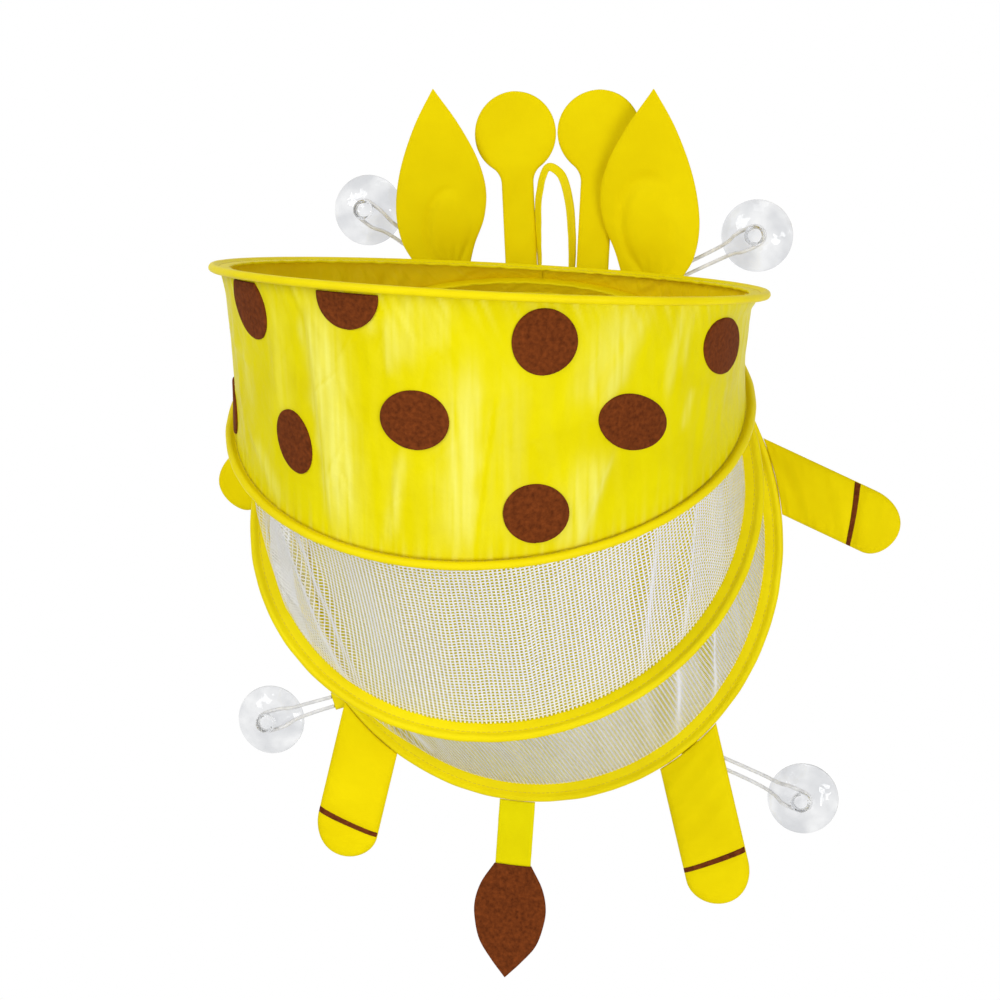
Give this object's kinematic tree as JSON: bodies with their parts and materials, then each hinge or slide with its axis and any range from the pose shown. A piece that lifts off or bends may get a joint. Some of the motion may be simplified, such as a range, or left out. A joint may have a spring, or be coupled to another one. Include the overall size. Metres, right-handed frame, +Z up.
{
  "type": "bath toy organizer",
  "caption": "Wall-hung pop-up bath toy basket: a fan of spring-wire hoops with a cloth band and net walls, padded animal limbs, ears and horns, and suction cups on cord tethers.",
  "frame": {"origin": "middle of the back panel's rear face, on the wall", "axes": "+X to the right seen from the front, +Y into the wall, +Z up"},
  "size_m": [0.453, 0.3431, 0.5882],
  "materials": {
    "yellow_cloth": "smooth nylon cloth with a soft satin sheen",
    "brown_felt": "matt felt with short fibres",
    "white_net": "fine white knitted net",
    "white_cord": "thin white cord",
    "clear_vinyl": "clear soft vinyl, glossy",
    "spring_steel": "bright spring steel wire"
  },
  "bodies": {
    "back_frame": {"back_wire": "spring_steel", "back_wire_sleeve": "spring_steel", "back_casing": "yellow_cloth", "back_panel": "yellow_cloth", "lower_gusset": "yellow_cloth", "lower_mesh_1": "white_net", "lower_mesh_2": "white_net", "lower_mesh_3": "white_net", "lower_mesh_4": "white_net"},
    "third_hoop": {"third_wire": "spring_steel", "third_wire_sleeve": "spring_steel", "third_casing": "yellow_cloth", "middle_gusset": "yellow_cloth", "middle_mesh_1": "white_net", "middle_mesh_2": "white_net", "middle_mesh_3": "white_net", "middle_mesh_4": "white_net"},
    "second_hoop": {"second_wire": "spring_steel", "second_wire_sleeve": "spring_steel", "second_casing": "yellow_cloth", "upper_band": "yellow_cloth", "felt_spot_1": "brown_felt", "felt_spot_2": "brown_felt", "felt_spot_3": "brown_felt", "felt_spot_4": "brown_felt", "felt_spot_5": "brown_felt", "felt_spot_6": "brown_felt", "felt_spot_7": "brown_felt", "felt_spot_8": "brown_felt", "felt_spot_9": "brown_felt"},
    "rim_hoop": {"rim_wire": "spring_steel", "rim_wire_sleeve": "spring_steel", "rim_casing": "yellow_cloth"},
    "left_ear_flap": {"left_ear": "yellow_cloth"},
    "right_ear_flap": {"right_ear": "yellow_cloth"},
    "left_horn_flap": {"left_horn": "yellow_cloth"},
    "right_horn_flap": {"right_horn": "yellow_cloth"},
    "loop_flap": {"hanging_loop": "yellow_cloth"},
    "right_arm_flap": {"right_arm": "yellow_cloth", "right_arm_stripe": "brown_felt"},
    "left_arm_flap": {"left_arm": "yellow_cloth", "left_arm_stripe": "brown_felt"},
    "right_leg_flap": {"right_leg": "yellow_cloth", "right_leg_stripe": "brown_felt"},
    "left_leg_flap": {"left_leg": "yellow_cloth", "left_leg_stripe": "brown_felt"},
    "tail_flap": {"tail_strap": "yellow_cloth", "tail_tip": "brown_felt"},
    "upper_left_tether": {"upper_left_tab": "yellow_cloth", "upper_left_cord": "white_cord"},
    "upper_right_tether": {"upper_right_tab": "yellow_cloth", "upper_right_cord": "white_cord"},
    "lower_left_tether": {"lower_left_tab": "yellow_cloth", "lower_left_cord": "white_cord"},
    "lower_right_tether": {"lower_right_tab": "yellow_cloth", "lower_right_cord": "white_cord"},
    "upper_left_sucker": {"upper_left_cup": "clear_vinyl"},
    "upper_right_sucker": {"upper_right_cup": "clear_vinyl"},
    "lower_left_sucker": {"lower_left_cup": "clear_vinyl"},
    "lower_right_sucker": {"lower_right_cup": "clear_vinyl"}
  },
  "joints": [
    {"name": "third_hoop_fold", "type": "hinge", "parent": "back_frame", "child": "third_hoop", "pos_m": [0, -0.0098, 0.1705], "axis": [1, 0, 0], "range_deg": [0, 34.5], "stiffness_Nm_per_rad": 1.2, "springref_deg": -45.84, "deforming": ["lower_gusset", "lower_mesh_1", "lower_mesh_2", "lower_mesh_3", "lower_mesh_4"]},
    {"name": "second_hoop_fold", "type": "hinge", "parent": "third_hoop", "child": "second_hoop", "pos_m": [0, -0.01417, 0.1735], "axis": [1, 0, 0], "range_deg": [0, 27], "deforming": ["middle_gusset", "middle_mesh_1", "middle_mesh_2", "middle_mesh_3", "middle_mesh_4"]},
    {"name": "rim_fold", "type": "hinge", "parent": "second_hoop", "child": "rim_hoop", "pos_m": [0, -0.0167, 0.17816], "axis": [1, 0, 0], "range_deg": [0, 27], "deforming": ["upper_band", "felt_spot_1", "felt_spot_2", "felt_spot_3", "felt_spot_4", "felt_spot_5", "felt_spot_6", "felt_spot_7", "felt_spot_8", "felt_spot_9"]},
    {"name": "left_ear_bend", "type": "hinge", "parent": "back_frame", "child": "left_ear_flap", "pos_m": [-0.06567, -0.00705, 0.15883], "axis": [0.9094, 0, 0.4158], "range_deg": [0, 20], "stiffness_Nm_per_rad": 0.08, "springref_deg": -5.73},
    {"name": "right_ear_bend", "type": "hinge", "parent": "back_frame", "child": "right_ear_flap", "pos_m": [0.06607, -0.00705, 0.15865], "axis": [0.9083, 0, -0.4183], "range_deg": [0, 20], "stiffness_Nm_per_rad": 0.08, "springref_deg": -5.73},
    {"name": "left_horn_bend", "type": "hinge", "parent": "back_frame", "child": "left_horn_flap", "pos_m": [-0.01664, -0.00544, 0.17231], "axis": [0.9943, 0, 0.1062], "range_deg": [0, 20], "stiffness_Nm_per_rad": 0.05, "springref_deg": -5.73},
    {"name": "right_horn_bend", "type": "hinge", "parent": "back_frame", "child": "right_horn_flap", "pos_m": [0.02945, -0.00544, 0.17041], "axis": [0.9822, 0, -0.1877], "range_deg": [0, 20]},
    {"name": "loop_bend", "type": "hinge", "parent": "back_frame", "child": "loop_flap", "pos_m": [0.006, -0.0076, 0.1732], "axis": [1, 0, 0], "range_deg": [0, 25], "stiffness_Nm_per_rad": 0.005, "springref_deg": -5.73},
    {"name": "right_arm_bend", "type": "hinge", "parent": "back_frame", "child": "right_arm_flap", "pos_m": [0.15664, -0.00635, 0.05352], "axis": [0.2952, 0, -0.9554], "range_deg": [0, 60], "stiffness_Nm_per_rad": 0.02},
    {"name": "left_arm_bend", "type": "hinge", "parent": "back_frame", "child": "left_arm_flap", "pos_m": [-0.15664, -0.00635, 0.05352], "axis": [0.2952, 0, 0.9554], "range_deg": [0, 60], "stiffness_Nm_per_rad": 0.02},
    {"name": "right_leg_bend", "type": "hinge", "parent": "back_frame", "child": "right_leg_flap", "pos_m": [0.11148, -0.00635, -0.12749], "axis": [-0.7189, 0, -0.6951], "range_deg": [0, 75]},
    {"name": "left_leg_bend", "type": "hinge", "parent": "back_frame", "child": "left_leg_flap", "pos_m": [-0.10253, -0.00635, -0.13555], "axis": [-0.767, 0, 0.6416], "range_deg": [0, 75]},
    {"name": "tail_swing", "type": "hinge", "parent": "back_frame", "child": "tail_flap", "pos_m": [0, -0.0055, -0.1732], "axis": [-1, 0, 0], "range_deg": [0, 75]},
    {"name": "upper_left_tether_swing", "type": "hinge", "parent": "back_frame", "child": "upper_left_tether", "pos_m": [-0.05416, -0.0016, 0.16357], "axis": [0, 1, 0], "range_deg": [-30, 0]},
    {"name": "upper_right_tether_swing", "type": "hinge", "parent": "back_frame", "child": "upper_right_tether", "pos_m": [0.05416, -0.0016, 0.16357], "axis": [0, 1, 0], "range_deg": [-8, 30]},
    {"name": "lower_left_tether_swing", "type": "hinge", "parent": "back_frame", "child": "lower_left_tether", "pos_m": [-0.1224, -0.0016, -0.11589], "axis": [0, 1, 0], "range_deg": [-25, 45]},
    {"name": "lower_right_tether_swing", "type": "hinge", "parent": "back_frame", "child": "lower_right_tether", "pos_m": [0.11169, -0.0016, -0.12729], "axis": [0, 1, 0], "range_deg": [-40, 18]},
    {"name": "upper_left_cup_turn", "type": "hinge", "parent": "upper_left_tether", "child": "upper_left_sucker", "pos_m": [-0.1225, 0, 0.2093], "axis": [0, 1, 0], "continuous": true},
    {"name": "upper_right_cup_turn", "type": "hinge", "parent": "upper_right_tether", "child": "upper_right_sucker", "pos_m": [0.134, 0, 0.207], "axis": [0, 1, 0], "continuous": true},
    {"name": "lower_left_cup_turn", "type": "hinge", "parent": "lower_left_tether", "child": "lower_left_sucker", "pos_m": [-0.1725, 0, -0.1352], "axis": [0, 1, 0], "continuous": true},
    {"name": "lower_right_cup_turn", "type": "hinge", "parent": "lower_right_tether", "child": "lower_right_sucker", "pos_m": [0.1873, 0, -0.1536], "axis": [0, 1, 0], "continuous": true}
  ],
  "couplings": [
    {"joint": "second_hoop_fold", "follows": "third_hoop_fold", "ratio": 0.7826},
    {"joint": "rim_fold", "follows": "third_hoop_fold", "ratio": 0.7826},
    {"joint": "right_horn_bend", "follows": "right_ear_bend", "ratio": 1}
  ]
}
